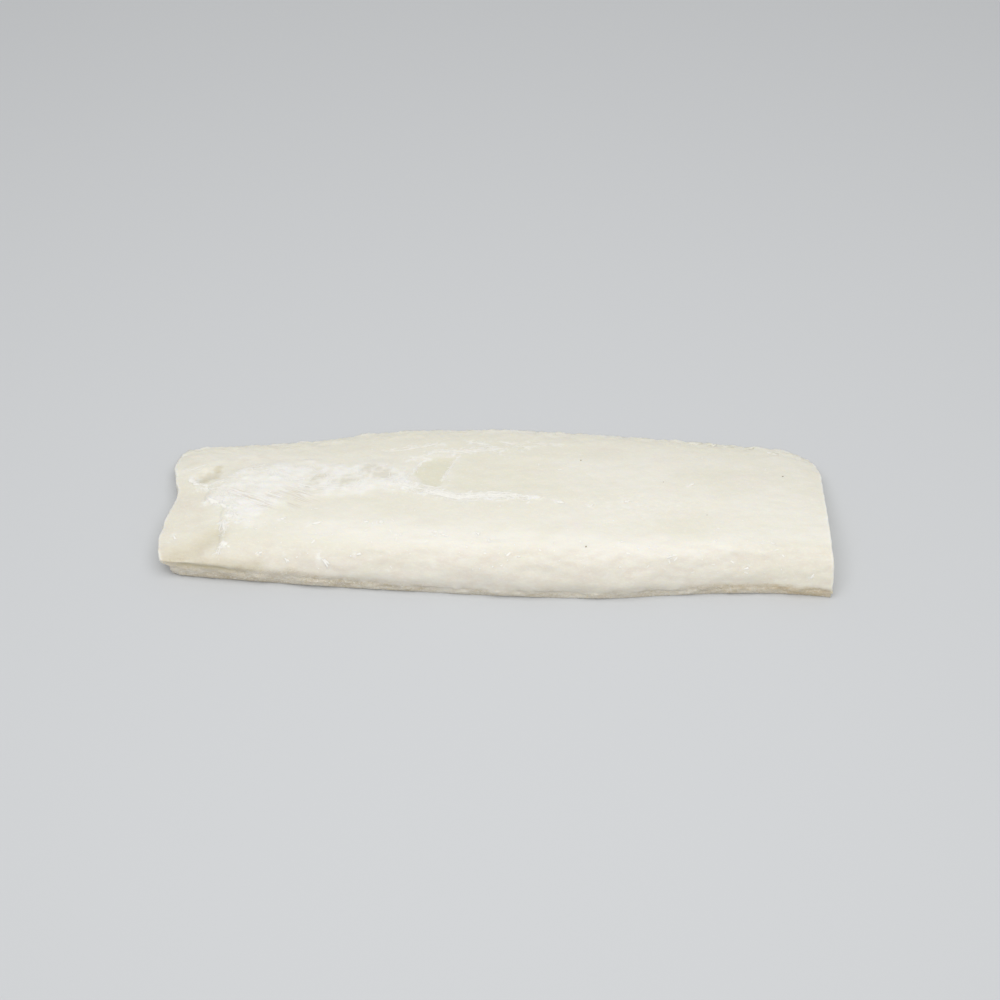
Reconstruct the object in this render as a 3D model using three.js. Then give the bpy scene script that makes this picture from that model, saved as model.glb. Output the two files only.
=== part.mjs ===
// Salted dried cod: one side of a cod, boned, skinned, salted and dried, lying with its crown up.
// It is a single piece of fish, so it is a single solid.
//
// Millimetres, +Z up. The origin is on the ground, under the middle of the fillet's box.
// +X runs from the torn tail end to the knife-cut end, +Y from the thick back edge to the thin belly edge.

import * as THREE from "three";
import { ImprovedNoise } from "three/addons/math/ImprovedNoise.js";
import { mergeVertices } from "three/addons/utils/BufferGeometryUtils.js";

// Driving dimensions.
const LENGTH = 430;
const WIDTH = 141;
const CREST = 28; // the thickest part of the loin

// Cross-section, from the back edge over the crest to the belly edge.
const SHOULDER_RUN = 22; // across the rounded shoulder, from the back edge to the crest
const SHOULDER_ROUND = [0.4, 0.5, 0.8, 0.9, 0.8, 0.5, 0.3]; // evenly along: 1 quarter round, 0 an easy slope
const BELLY_FALL = 1.8; // power of the curve by which the top falls to the belly edge
const BELLY_RIM = 4.5; // height of the thin belly edge
const CREST_SHARES = [0.72, 0.85, 0.95, 1.0, 0.99, 0.96, 0.88]; // of CREST, evenly along the fillet
const BACK_RIM = [16.5, 12.2, 9.2, 8.5, 8.5, 9, 9.5]; // height of the lower rim, evenly along the back edge

// The four edges in plan: share of LENGTH, then share of WIDTH, both from the middle.
const BACK_EDGE = [
  [-0.497, -0.352], [-0.437, -0.371], [-0.288, -0.414], [-0.14, -0.448], [0.012, -0.478],
  [0.156, -0.492], [0.244, -0.477], [0.333, -0.463], [0.419, -0.464], [0.493, -0.484],
];
const BELLY_EDGE = [
  [-0.484, 0.37], [-0.442, 0.394], [-0.277, 0.441], [-0.172, 0.497], [0, 0.51],
  [0.121, 0.488], [0.256, 0.449], [0.384, 0.406], [0.449, 0.375], [0.485, 0.32],
];
const TORN_END = [
  BACK_EDGE[0], [-0.502, -0.3], [-0.503, -0.241], [-0.498, -0.149], [-0.486, 0.035],
  [-0.491, 0.142], [-0.497, 0.262], BELLY_EDGE[0],
];
const CUT_END = [
  BACK_EDGE.at(-1), [0.493, -0.284], [0.494, 0], [0.496, 0.156], [0.493, 0.24], BELLY_EDGE.at(-1),
];

// Walls below the top surface, each worked down from its top edge: a groove, a lip that stands out,
// a ledge that steps in, and a foot inside the top edge.
const GROOVE_DOWN = 0.16; // share of the way down a wall at which its groove is deepest
const FOOT_CURVE = 5; // power of the curve by which a wall draws in to its foot
const FOOT_INSET = { back: 0.9, cut: 0.4, belly: 1.2, torn: 2.2 };
const LOOSE_LEDGE = { depth: 7.5, across: 0.3, along: 22 }; // the top layer overhangs the torn back corner
const BACK_GROOVE = [1.5, 0.2, 0, 0, 0, 0, 0]; // evenly along the back edge
const BACK_LIP = [0.6, 0.2, 0, 0, 0, 0, 0]; // evenly along the back edge
const TORN_LIP = 0.8;
const CORNER_BLEND = 2; // perimeter steps over which one wall's shape passes into the next

// Ovals pressed into or raised on the top: place from the middle, half sizes, height, and the share
// of the half size over which that height is reached.
const OVALS = [
  { at: [-122, 9], half: [76, 24], rise: 0.7, wall: 0.26 }, // silvery membrane
  { at: [-43, 22.5], half: [12, 15], turn: -0.35, rise: -0.6, wall: 0.6 }, // small clear window
  { at: [19, 19], half: [50, 17], turn: 0.03, rise: -0.5, wall: 0.7 }, // long clear window
  { at: [-189.5, 21.5], half: [15.6, 7.8], turn: 0.65, rise: -2.4, wall: 0.9 }, // pit by the torn end
];

// Other relief on the top surface.
const TROUGH = { line: [[-208, -51], [-192, -45], [-178, -34]], reach: 10, depth: 1.5 };
const TORN_LAYER = { height: 0.9, slope: 3, ends: 14, fade: 10 }; // it thins away towards the belly
const TORN_LAYER_LINE = [[-184, 16], [-188, -3], [-176, -13], [-174, -34], [-177, -50]];
const END_ROUND = { run: 6, drop: 1.6 }; // the torn end's top edge is worn round
const CALM = { back: 0.15, belly: 0.12 }; // share of the width over which relief fades out at an edge

// Natural unevenness: swells of the top, long with the muscle, and the ragged run of the edges.
const SWELLS = [
  { long: 150, wide: 60, height: 1.3 },
  { long: 58, wide: 27, height: 0.6 },
  { long: 21, wide: 12, height: 0.3 },
];
const EDGE_RIPPLES = [
  { long: 40, depth: 1 },
  { long: 13, depth: 0.7 },
];

// Fineness of the faceted surface.
const STEPS_ALONG = 108;
const STEPS_ACROSS = 34;
const WALL_STEPS = 5;
const SHOULDER_CROWDING = 0.6; // 0 for even steps across, 1 for the most on the shoulder

const grain = new ImprovedNoise();
const smooth = (t) => THREE.MathUtils.smoothstep(t, 0, 1);

// A value read from samples spaced evenly over 0 to 1.
function along(samples, share) {
  const place = THREE.MathUtils.clamp(share, 0, 1) * (samples.length - 1);
  const first = Math.min(Math.floor(place), samples.length - 2);
  return THREE.MathUtils.lerp(samples[first], samples[first + 1], smooth(place - first));
}

// Points of an edge at equal steps, as a smooth curve through its few plan points.
function edge(shares, steps) {
  const points = shares.map(([x, y]) => new THREE.Vector3(x * LENGTH, y * WIDTH, 0));
  return new THREE.CatmullRomCurve3(points, false, "catmullrom", 0.5).getSpacedPoints(steps);
}

// Steps across that crowd together on the shoulder, where the section turns most.
function shoulderSpacing(step) {
  const share = step / STEPS_ACROSS;
  return THREE.MathUtils.lerp(share, share ** 1.5, SHOULDER_CROWDING);
}

// Plan position at shares u along and v across: a patch blended between the four edges.
function planPatch() {
  const back = edge(BACK_EDGE, STEPS_ALONG);
  const belly = edge(BELLY_EDGE, STEPS_ALONG);
  const torn = new THREE.CatmullRomCurve3(edge(TORN_END, STEPS_ACROSS * 4));
  const cut = new THREE.CatmullRomCurve3(edge(CUT_END, STEPS_ACROSS * 4));
  return (i, v) => {
    const u = i / STEPS_ALONG;
    const sides = back[i].clone().multiplyScalar(1 - v).addScaledVector(belly[i], v);
    const ends = torn.getPointAt(v).multiplyScalar(1 - u).addScaledVector(cut.getPointAt(v), u);
    const corners = back[0].clone().multiplyScalar((1 - u) * (1 - v));
    corners.addScaledVector(back.at(-1), u * (1 - v));
    corners.addScaledVector(belly[0], (1 - u) * v);
    corners.addScaledVector(belly.at(-1), u * v);
    return sides.add(ends).sub(corners);
  };
}

// Distance of a plan point from the middle of an oval, in half sizes of the oval.
function ovalDistance({ at, half, turn = 0 }, x, y) {
  const dx = x - at[0];
  const dy = y - at[1];
  const px = dx * Math.cos(turn) + dy * Math.sin(turn);
  const py = dy * Math.cos(turn) - dx * Math.sin(turn);
  return Math.hypot(px / half[0], py / half[1]);
}

// Distance of a plan point from a line of straight stretches.
function lineDistance(line, x, y) {
  const place = new THREE.Vector3(x, y, 0);
  const corners = line.map((point) => new THREE.Vector3(...point, 0));
  const distances = corners.slice(1).map((corner, n) => {
    const stretch = new THREE.Line3(corners[n], corner);
    return stretch.closestPointToPoint(place, true, new THREE.Vector3()).distanceTo(place);
  });
  return Math.min(...distances);
}

// X of the torn layer's ragged rim at a given Y.
function tornLine(y) {
  const last = TORN_LAYER_LINE.length - 1;
  const below = TORN_LAYER_LINE.findIndex((point) => point[1] < y);
  const n = below < 0 ? last : Math.max(below, 1);
  const [[x0, y0], [x1, y1]] = TORN_LAYER_LINE.slice(n - 1, n + 1);
  return THREE.MathUtils.lerp(x0, x1, THREE.MathUtils.clamp((y0 - y) / (y0 - y1), 0, 1));
}

// Height of the plain crowned section: d across from the back edge, w the whole width, u the share along.
function crownHeight(u, d, w) {
  const crest = CREST * along(CREST_SHARES, u);
  if (d < SHOULDER_RUN) {
    const rim = along(BACK_RIM, u);
    const share = d / SHOULDER_RUN;
    const round = Math.sqrt(1 - (1 - share) ** 2);
    const slope = Math.sin(0.5 * Math.PI * share);
    return rim + (crest - rim) * THREE.MathUtils.lerp(slope, round, along(SHOULDER_ROUND, u));
  }
  const fall = ((d - SHOULDER_RUN) / (w - SHOULDER_RUN)) ** BELLY_FALL;
  return BELLY_RIM + (crest - BELLY_RIM) * (1 - fall);
}

// What the torn layers, hollows and swells add to the crown at a plan point.
function relief(x, y, u, v) {
  let z = 0;
  for (const { long, wide, height } of SWELLS) z += height * grain.noise(x / long, y / wide, long);
  for (const oval of OVALS) z += oval.rise * smooth((1 - ovalDistance(oval, x, y)) / oval.wall);
  const torn = smooth((tornLine(y) - x) / TORN_LAYER.slope + 0.5);
  z -= TORN_LAYER.height * torn * smooth((TORN_LAYER.ends - y) / TORN_LAYER.fade);
  z -= END_ROUND.drop * Math.exp((-u * LENGTH) / END_ROUND.run);
  z *= smooth(v / CALM.back) * smooth((1 - v) / CALM.belly);
  return z - TROUGH.depth * smooth(1 - lineDistance(TROUGH.line, x, y) / TROUGH.reach);
}

// The top surface as rows of points, from the torn end to the cut end.
function topGrid() {
  const plan = planPatch();
  const rows = [];
  for (let i = 0; i <= STEPS_ALONG; i += 1) {
    const u = i / STEPS_ALONG;
    const width = plan(i, 0).distanceTo(plan(i, 1));
    const row = [];
    for (let j = 0; j <= STEPS_ACROSS; j += 1) {
      const v = shoulderSpacing(j);
      const point = plan(i, v);
      point.z = crownHeight(u, v * width, width) + relief(point.x, point.y, u, v);
      row.push(point);
    }
    rows.push(row);
  }
  return rows;
}

// The grid's outer points in one loop, anticlockwise from above, each with the wall it belongs to.
function perimeter() {
  const loop = [];
  for (let i = 0; i < STEPS_ALONG; i += 1) loop.push({ i, j: 0, wall: "back" });
  for (let j = 0; j < STEPS_ACROSS; j += 1) loop.push({ i: STEPS_ALONG, j, wall: "cut" });
  for (let i = STEPS_ALONG; i > 0; i -= 1) loop.push({ i, j: STEPS_ACROSS, wall: "belly" });
  for (let j = STEPS_ACROSS; j > 0; j -= 1) loop.push({ i: 0, j, wall: "torn" });
  return loop;
}

// What shapes the wall at a perimeter point: groove, lip, ledge and foot inset, all in millimetres.
function wallShape({ i, j, wall }) {
  const u = i / STEPS_ALONG;
  const v = shoulderSpacing(j);
  const loose = { torn: v / LOOSE_LEDGE.across, back: (u * LENGTH) / LOOSE_LEDGE.along }[wall] ?? 1;
  let ripple = 0;
  for (const { long, depth } of EDGE_RIPPLES) {
    ripple += depth * grain.noise((u * LENGTH) / long, (v * WIDTH) / long, long);
  }
  return {
    groove: wall === "back" ? along(BACK_GROOVE, u) : 0,
    lip: { back: along(BACK_LIP, u) + ripple, cut: 0, belly: ripple, torn: TORN_LIP + ripple }[wall],
    ledge: LOOSE_LEDGE.depth * (1 - smooth(loose)),
    inset: FOOT_INSET[wall],
  };
}

// A wall point at a share of the way down from its top edge: the lip, groove and foot are measured
// outwards, and the ledge along the fillet.
function wallPoint(top, out, { groove, lip, ledge, inset }, down) {
  const inGroove = Math.max(0, 1 - Math.abs(down / GROOVE_DOWN - 1));
  const underGroove = smooth(down / GROOVE_DOWN - 1);
  const foot = down ** FOOT_CURVE;
  const outside = lip * underGroove * (1 - foot) - groove * inGroove - inset * foot;
  const point = top.clone().addScaledVector(out, outside);
  point.x += ledge * underGroove;
  return point.setZ(top.z * (1 - down));
}

// A looped list of numbers, each averaged with its neighbours on both sides.
function blended(values) {
  const count = values.length;
  return values.map((_, n) => {
    let sum = 0;
    for (let k = -CORNER_BLEND; k <= CORNER_BLEND; k += 1) sum += values[(n + k + count) % count];
    return sum / (2 * CORNER_BLEND + 1);
  });
}

// Outward directions in plan at each point of a closed loop.
function outwards(points) {
  const count = points.length;
  return points.map((_, n) => {
    const run = points[(n + 2) % count].clone().sub(points[(n - 2 + count) % count]);
    return new THREE.Vector3(run.y, -run.x, 0).normalize();
  });
}

// The fillet: the top grid, walls stepped down from its rim, and a flat underside.
function filletGeometry() {
  const rows = topGrid();
  const loop = perimeter();
  const rim = loop.map(({ i, j }) => rows[i][j]);
  const out = outwards(rim);
  const shapes = loop.map(wallShape);
  for (const key of Object.keys(shapes[0])) {
    blended(shapes.map((shape) => shape[key])).forEach((value, n) => (shapes[n][key] = value));
  }

  const positions = rows.flat().flatMap((point) => point.toArray());
  const indices = [];
  const across = STEPS_ACROSS + 1;
  for (let i = 0; i < STEPS_ALONG; i += 1) {
    for (let j = 0; j < STEPS_ACROSS; j += 1) {
      const corner = i * across + j;
      indices.push(corner, corner + across, corner + across + 1, corner, corner + across + 1, corner + 1);
    }
  }

  let upper = loop.map(({ i, j }) => i * across + j);
  for (let step = 1; step <= WALL_STEPS; step += 1) {
    const down = step / WALL_STEPS;
    const lower = rim.map((top, n) => {
      const point = wallPoint(top, out[n], shapes[n], down);
      return positions.push(point.x, point.y, point.z) / 3 - 1;
    });
    upper.forEach((a, n) => {
      const next = (n + 1) % loop.length;
      indices.push(a, lower[n], lower[next], a, lower[next], upper[next]);
    });
    upper = lower;
  }

  const foot = upper.map((n) => new THREE.Vector2(positions[3 * n], positions[3 * n + 1]));
  for (const [a, b, c] of THREE.ShapeUtils.triangulateShape(foot, [])) {
    indices.push(upper[a], upper[c], upper[b]);
  }

  const geometry = new THREE.BufferGeometry();
  geometry.setAttribute("position", new THREE.Float32BufferAttribute(positions, 3));
  geometry.setIndex(indices);
  geometry.computeBoundingBox();
  const middle = geometry.boundingBox.getCenter(new THREE.Vector3());
  geometry.translate(-middle.x, -middle.y, 0);
  const welded = mergeVertices(geometry);
  welded.computeVertexNormals();
  return welded;
}

const saltedFlesh = new THREE.MeshStandardMaterial({ color: 0xe8e4d6, roughness: 0.5, metalness: 0 });
const fillet = new THREE.Mesh(filletGeometry(), saltedFlesh);
fillet.name = "fillet";

const saltCod = new THREE.Group();
saltCod.add(fillet);

export default saltCod;
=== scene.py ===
"""Salted dried cod: the fine form and finish of one crowned side of cod.

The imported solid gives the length, width and height. The flesh is grown as a fine mesh over the same form,
with the membrane, clear windows, torn layers and grain of the real fish. Fibres, flakes, salt, crumbs and
pinpricks are laid on it as meshes of their own.

Places and sizes are in millimetres from the middle of the fillet, and MM turns them into metres.
"""

import math

import bmesh
import bpy
import numpy as np
from mathutils import Matrix, Vector, geometry, noise
from mathutils.bvhtree import BVHTree


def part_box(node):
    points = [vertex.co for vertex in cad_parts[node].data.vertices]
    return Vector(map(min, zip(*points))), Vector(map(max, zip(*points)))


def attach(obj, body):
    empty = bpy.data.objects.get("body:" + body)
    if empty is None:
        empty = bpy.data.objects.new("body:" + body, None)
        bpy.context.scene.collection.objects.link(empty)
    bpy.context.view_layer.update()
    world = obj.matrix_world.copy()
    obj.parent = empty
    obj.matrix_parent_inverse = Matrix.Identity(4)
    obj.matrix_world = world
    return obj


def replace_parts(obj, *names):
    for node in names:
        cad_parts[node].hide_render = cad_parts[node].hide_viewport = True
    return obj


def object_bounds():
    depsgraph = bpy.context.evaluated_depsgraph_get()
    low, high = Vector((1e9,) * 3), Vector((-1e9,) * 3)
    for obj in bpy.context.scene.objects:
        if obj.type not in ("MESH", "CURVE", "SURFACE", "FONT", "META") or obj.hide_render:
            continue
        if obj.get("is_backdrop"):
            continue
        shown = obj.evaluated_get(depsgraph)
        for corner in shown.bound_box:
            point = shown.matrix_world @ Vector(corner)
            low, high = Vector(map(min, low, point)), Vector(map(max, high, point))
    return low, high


bl_info = {
    "name": "Salted Dried Cod",
    "version": (1, 0, 0),
    "blender": (4, 5, 0),
    "location": "View3D > Sidebar > Cod",
    "description": "Dresses the packed fillet with flesh, fibres, flakes and salt",
    "category": "Add Mesh",
}

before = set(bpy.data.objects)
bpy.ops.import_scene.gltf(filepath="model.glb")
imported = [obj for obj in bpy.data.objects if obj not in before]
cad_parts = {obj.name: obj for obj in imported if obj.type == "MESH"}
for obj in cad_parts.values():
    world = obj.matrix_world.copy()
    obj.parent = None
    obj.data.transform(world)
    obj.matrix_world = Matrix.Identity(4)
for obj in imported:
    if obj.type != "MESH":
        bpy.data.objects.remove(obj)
CAD_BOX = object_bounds()

MM = 0.001
LOW, HIGH = (np.array(corner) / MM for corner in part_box("fillet"))
LENGTH, WIDTH, HEIGHT = HIGH - LOW

# The four edges in plan: share of the length, then share of the width, both from the middle.
BACK_EDGE = [
    (-0.497, -0.352), (-0.437, -0.371), (-0.288, -0.414), (-0.14, -0.448), (0.012, -0.478),
    (0.156, -0.492), (0.244, -0.477), (0.333, -0.463), (0.419, -0.464), (0.493, -0.484),
]
BELLY_EDGE = [
    (-0.481, 0.388), (-0.442, 0.4), (-0.277, 0.441), (-0.172, 0.497), (0, 0.51),
    (0.121, 0.488), (0.256, 0.449), (0.384, 0.406), (0.449, 0.375), (0.485, 0.32),
]
TORN_END = [
    BACK_EDGE[0], (-0.502, -0.3), (-0.503, -0.241), (-0.498, -0.149), (-0.486, 0.035),
    (-0.491, 0.142), (-0.497, 0.262), BELLY_EDGE[0],
]
CUT_END = [BACK_EDGE[-1], (0.493, -0.284), (0.494, 0), (0.496, 0.156), (0.493, 0.24), BELLY_EDGE[-1]]

# Cross-section, and what changes evenly along the fillet from the torn end to the cut end.
CREST_SHARES = (0.72, 0.85, 0.95, 1.0, 0.99, 0.96, 0.88)
BACK_RIM = (16.5, 12.2, 9.2, 8.5, 8.5, 9, 9.5)
SHOULDER_ROUND = (0.4, 0.5, 0.8, 0.9, 0.8, 0.5, 0.3)
BELLY_FALL = 1.8
RIM_WAVER = [(24, 1.2), (8, 0.7)]
BACK_GROOVE = (0.5, 0, 0, 0, 0, 0, 0)
BACK_LIP = (0.6, 0.2, 0, 0, 0, 0, 0)
FOOT_INSET = {"back": 0.9, "cut": 0.4, "belly": 1.2, "torn": 3}
FOOT_CURVE = 5
GROOVE_DOWN = 0.16
TORN_LIP = 0.8
LOOSE_LEDGE = {"depth": 6, "across": 0.3, "along": 18}
CORNER_BLEND = 8
TROUGH = {"line": [(-208, -51), (-192, -45), (-178, -34)], "reach": 10, "depth": 1.5}
TORN_LINE = [(-184, 16), (-188, -3), (-176, -13), (-174, -34), (-177, -50)]
TORN_LAYER = {"height": 0.9, "slope": 1.6}
END_ROUND = {"run": 6, "drop": 1.6}
BELLY_ROUND = {"run": 3, "drop": 0.8}
CALM = {"back": 0.15, "belly": 0.12}
SWELLS = [(150, 60, 1.3), (58, 27, 0.6), (21, 12, 0.3)]
EDGE_RIPPLES = [(40, 1.0), (13, 0.7), (5, 0.3)]
RAGGED_EDGES = {"torn": [(9, 0.8), (2.6, 0.4)], "belly": [(19, 0.35), (7, 0.3), (2.4, 0.25)]}
RAGGED_STRETCH = {"from": 104, "to": 186, "ease": 8, "times": 1.8}
RAGGED_REACH = 7
# How far the painted highlight along each rim reaches in, in millimetres.
RIM_HIGHLIGHT_REACH = {"torn": 1.0, "belly": 1.6, "cut": 0.8}
TORN_STEP = 4.2
MUSCLE = {"step": 17, "seam": 0.55, "bend": 1.5, "middle": 6, "lateral": 7}

# What lies on the top of the flesh. Ovals are given by their middle, half sizes and turn in plan.
RISES = {"membrane": 0.7, "small_window": -0.6, "long_window": -0.5, "pit": -2.1}
MEMBRANE = [
    (-187, -4), (-183, 11), (-168, 26), (-152, 31), (-122, 34), (-106, 29), (-75, 32), (-60, 28),
    (-58, 4), (-76, -1), (-99, -2), (-130, -7), (-142, -15), (-150, -30), (-163, -22), (-173, -14),
]
MEMBRANE_HOLES = [
    ((-119.5, 8), (5, 3)), ((-115, 16), (4, 2.5)), ((-98, 11.2), (7, 4)), ((-82.5, 24.6), (6, 3)),
    ((-74, 17), (7, 5)),
]
HATCHING = [
    ((-165, 0.2), (11, 3.6), -0.47), ((-150, -8.6), (9, 3.4), -0.55), ((-143, -2.7), (9, 3), -0.3),
    ((-126.6, -2.2), (11, 5.5), -0.4), ((-129, -10.6), (6, 3), -0.55),
]
STRIATION_TURN = -0.45
SMALL_WINDOW = [
    (-53.7, 17.6), (-50.3, 27), (-43.2, 34), (-33.7, 36.7), (-26.3, 35.8), (-30.3, 21.7), (-36.1, 3.6),
    (-45.5, 6.8),
]
LONG_WINDOW = [
    (-25.3, 35.8), (-12.7, 40.3), (0, 38.4), (30, 33), (62, 26), (72, 15), (60, 4),
    (29, 1.8), (13.5, -2), (-8, -2.8), (-22.6, -2), (-34, 2), (-29, 21),
]
PIT = ((-189.5, 21.5), (15.6, 7.8), 0.65)

# Strands of white tissue: half width of the band, its strength, how many fibres, and its line in plan.
STRANDS = {
    "belly_band": (3.6, 0.7, 10, [
        (-57, 33), (-46, 38.5), (-37, 42.5), (-26, 41.7), (-17, 43.2), (-8, 44.8), (-1, 45.6), (6, 42)]),
    "belly_arc": (2.0, 0.55, 3, [(-74, 43.7), (-60, 46), (-44, 49.8), (-39.8, 51.4), (-34.4, 50.6)]),
    "belly_cream": (2.2, 0.7, 5, [(-20.8, 54.6), (-11.7, 52.1), (-5.3, 50.5), (-0.8, 47.2)]),
    "belly_lobe": (1.8, 0.5, 2, [(-0.8, 54.6), (8.3, 53), (12.8, 50.5), (18.2, 42.5)]),
    "belly_tip": (3.2, 0.6, 4, [(12, 47.3), (19, 48), (26, 47.4)]),
    "belly_light": (2.0, 0.5, 2, [(21.9, 54.8), (26.4, 52.3), (44, 51)]),
    "window_bow": (1.1, 1.0, 7, [(-46.9, 32.5), (-51.6, 25.8), (-53.6, 18.5)]),
    "hook": (0.9, 1.0, 5, [(-58.7, 22.9), (-57.1, 17.1), (-54.7, 12.8)]),
    "thread": (1.0, 1.0, 7, [(-25, 35.4), (-28.4, 25.7), (-31.4, 19.1), (-35, 10)]),
    "middle_west": (5.2, 0.95, 44, [(-70, 8), (-60, 7.5), (-52, 4.5), (-44, 1.5), (-37, -1)]),
    "middle": (3.6, 0.9, 70, [
        (-47, 2), (-37.6, -1.5), (-29, -4.5), (-21.7, -6.3), (-9.4, -5), (2, -4.4), (9, -4.2), (17, -6.4)]),
    "middle_end": (3.4, 1.0, 20, [(9, -4.5), (17, -6), (25.2, -7.1)]),
    "torn_rim": (2.6, 0.8, 14, [(-187, -3.6), (-179, -5), (-172, -12), (-166, -20), (-160, -24)]),
    "torn_rim_up": (2.2, 0.6, 8, [(-193, 9), (-186, 7.5), (-179, 7)]),
    "drop_upper": (2.6, 1.0, 16, [(-171, -20), (-173.5, -26), (-173, -36)]),
    "drop_lower": (2.0, 1.0, 12, [(-171.4, -42), (-175, -45.4), (-176.6, -49.5)]),
    "pit_rim": (1.4, 0.45, 4, [(-205, 26), (-196.3, 30.1), (-188.3, 33.3)]),
    "pit_low": (1.9, 0.75, 9, [(-202, 18), (-195, 14.5), (-189, 10.5), (-180, 14), (-172.8, 15.5)]),
    "lining_top": (3.0, 0.6, 12, [
        (-175, 14.7), (-164, 26), (-151, 26.5), (-142.4, 22), (-133.5, 15), (-123, 16.3)]),
    "lining_slant": (1.6, 0.7, 4, [(-146, 15), (-138.7, 27)]),
    "lining_band": (2.2, 0.6, 10, [(-137, 16.7), (-127, 9), (-112, 4), (-100, 3.5), (-86, 6)]),
    "lining_core": (4.5, 0.6, 8, [(-178, 8), (-172, -3), (-163, -12)]),
    "web_west": (1.3, 0.6, 5, [(-112, 22), (-108, 14), (-110, 5)]),
    "web_middle": (1.5, 0.6, 5, [(-90, 25), (-87, 14), (-90, 5)]),
    "web_east": (1.5, 0.6, 6, [(-66, 28), (-68, 14), (-62, 7)]),
}

# Layers of grain, added up: the sizes along x, y and z, the height, and the layer of the noise.
PIT_GRAIN = [((8, 5, 1), 0.3, 5), ((3, 3, 1), 0.1, 6)]
TORN_GRAIN = [((7, 5, 1), 1.5, 3), ((2.5, 2.5, 1), 0.7, 4)]
BELLY_GRAIN = [((16, 40, 1), 0.9, 7), ((5, 20, 1), 0.5, 8)]
STRAND_GRAIN = [((3.4, 2.2, 1), 1.6, 13), ((9, 5, 1), 1, 14), ((1.6, 1.1, 1), 1.6, 36)]
LAYER_GRAIN = [((26, 26, 10), 3, 30), ((7, 7, 4), 1.2, 35)]
FLESH_GRAIN = [((15, 6, 5), 0.25, 21), ((5, 2.4, 2.4), 0.14, 22)]
SHOULDER_GRAIN = [((26, 13, 9), 0.8, 28), ((9, 5, 5), 0.4, 29)]
ROUGH_GRAIN = [((7, 4, 4), 0.7, 23), ((2.6, 2.2, 2.2), 0.5, 24)]
OFF_LATTICE = 0.37

# Where the flesh changes tone, and where shade or a highlight is painted on it. Stains are ovals with a
# strength.
STAINS = [
    ((-187, 22), (9, 6), 0.65, 0.45), ((-183.4, 27), (5, 3.5), 0.65, 0.6), ((-191, 14.5), (4, 2.5), 0.2, 0.6),
    ((-201, 33), (6, 3), 0.3, 0.25),
]
STREAKS = [
    [(-157, 42.2), (-147, 36.3), (-139.4, 35.2)], [(-132.2, 35.9), (-124, 37.4)], [(-176, 38), (-166, 37)],
    [(28.3, 53.2), (37.3, 49.2)], [(60, 48), (80, 46)], [(-100, 44), (-84, 49)],
]
DEEP_PATCH = ((-12, -17), (58, 9))
BLOOM = ((92, -12), (46, 12), -0.05)
# The crest line marks a whiter band: partly whiter flesh on the crest, partly a painted highlight where the
# crest catches the light.
CREST_LINE = [(-160, -29), (-124, -32), (-28, -43), (98, -50), (214, -45)]
CREST_REACH = 13
LOW_BLUSH = {"x": (-215, -150, -100, 60, 90, 160), "from": (31, 33, 42, 44, 47, 41), "run": 14}
# The browner band low on the back edge and its strength along the fillet: partly dried flesh, partly painted
# shade on the low wall.
DRIED_AND_SHADE_BAND = {
    "x": (-215, -165, -120, -60, 0, 70, 120, 160, 215),
    "z": (16, 14, 12.5, 8.5, 7, 7.5, 10.5, 10.5, 9.5),
}
DRIED_AND_SHADE_STRENGTH = {
    "x": (-215, -198, -60, 30, 120, 170, 215),
    "share": (0.3, 0.8, 0.68, 0.5, 0.5, 0.52, 0.6),
}
LINING_WHITE = {"x": (-180, -150, -110, -60), "share": (1.0, 0.85, 0.6, 0.55)}

# Tones laid over the plain flesh in turn: the mask, the colour, and the strength. It is steady, or of soft
# patches: their sizes, the noise values they pass between, the strengths there, detail, roughness and turn.
DRIED_PATCHES = ((7, 3, 1.6), (0.3, 0.65), (0.35, 1.0), 5.0, 0.7)
FLESH_LAYERS = [
    ("", "deep_flesh", ((70, 34, 20), (0.38, 0.66), (0.0, 0.7))),
    ("", "deep_flesh", ((9, 4, 4), (0.35, 0.7), (0.0, 0.4), 4.0, 0.55)),
    ("", "rosy", ((34, 17, 12), (0.52, 0.72), (0.0, 0.55))),
    ("far", "deep_flesh", 0.62),
    # Crest: partly whiter flesh, partly a painted highlight.
    ("crest", "crest", ((24, 8, 8), (0.3, 0.65), (0.45, 0.9), 4.0, 0.55)),
    ("blush", "blush", ((10, 6, 5), (0.36, 0.7), (0.12, 0.62), 5.0, 0.65)),
    ("window", "window", 0.95),
    ("bloom", "crest", ((4, 2.4, 3), (0.45, 0.65), (0.0, 0.8), 4.0, 0.65)),
    ("", "crest", ((2.4, 1.5, 1.5), (0.5, 0.75), (0.0, 0.5), 4.0, 0.65)),
    ("membrane", "membrane", ((5, 3.2, 3), (0.28, 0.6), (0.5, 1.0), 5.0, 0.65)),
    ("strand", "strand", ((3, 1.4, 2), (0.3, 0.6), (0.45, 1.0), 4.0, 0.65)),
    ("hatch", "hatch", ((11, 0.55, 6), (0.48, 0.6), (0.0, 0.6), 1.0, 0.5, STRIATION_TURN)),
    ("hole", "hole", 0.7),
    # Browner band low on the back edge: partly dried flesh, partly painted shade.
    ("tan", "tan", DRIED_PATCHES),
    ("golden", "golden", DRIED_PATCHES),
    ("tan", "crest", ((1.3, 1.0, 0.8), (0.54, 0.66), (0.0, 0.9), 3.0, 0.6)),
    ("tan", "stain_and_shade", ((1.8, 1.3, 1.0), (0.52, 0.64), (0.0, 0.85), 3.0, 0.65)),
    # Olive stains, and painted shade in the groove, the trough and the crease.
    ("stain_and_shade", "stain_and_shade", 0.75),
    # Painted highlight along the rims, in the strand colour.
    ("rim", "strand", 0.7),
    ("under", "blush", ((26, 9, 9), (0.3, 0.7), (0.25, 0.85), 4.0, 0.6)),
    ("muscle", "tan", 0.3),
    ("ring", "window", 0.5),
    # Painted shade in the gaps between the layers of the torn end.
    ("crevice", "tan", 0.5),
]

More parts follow.
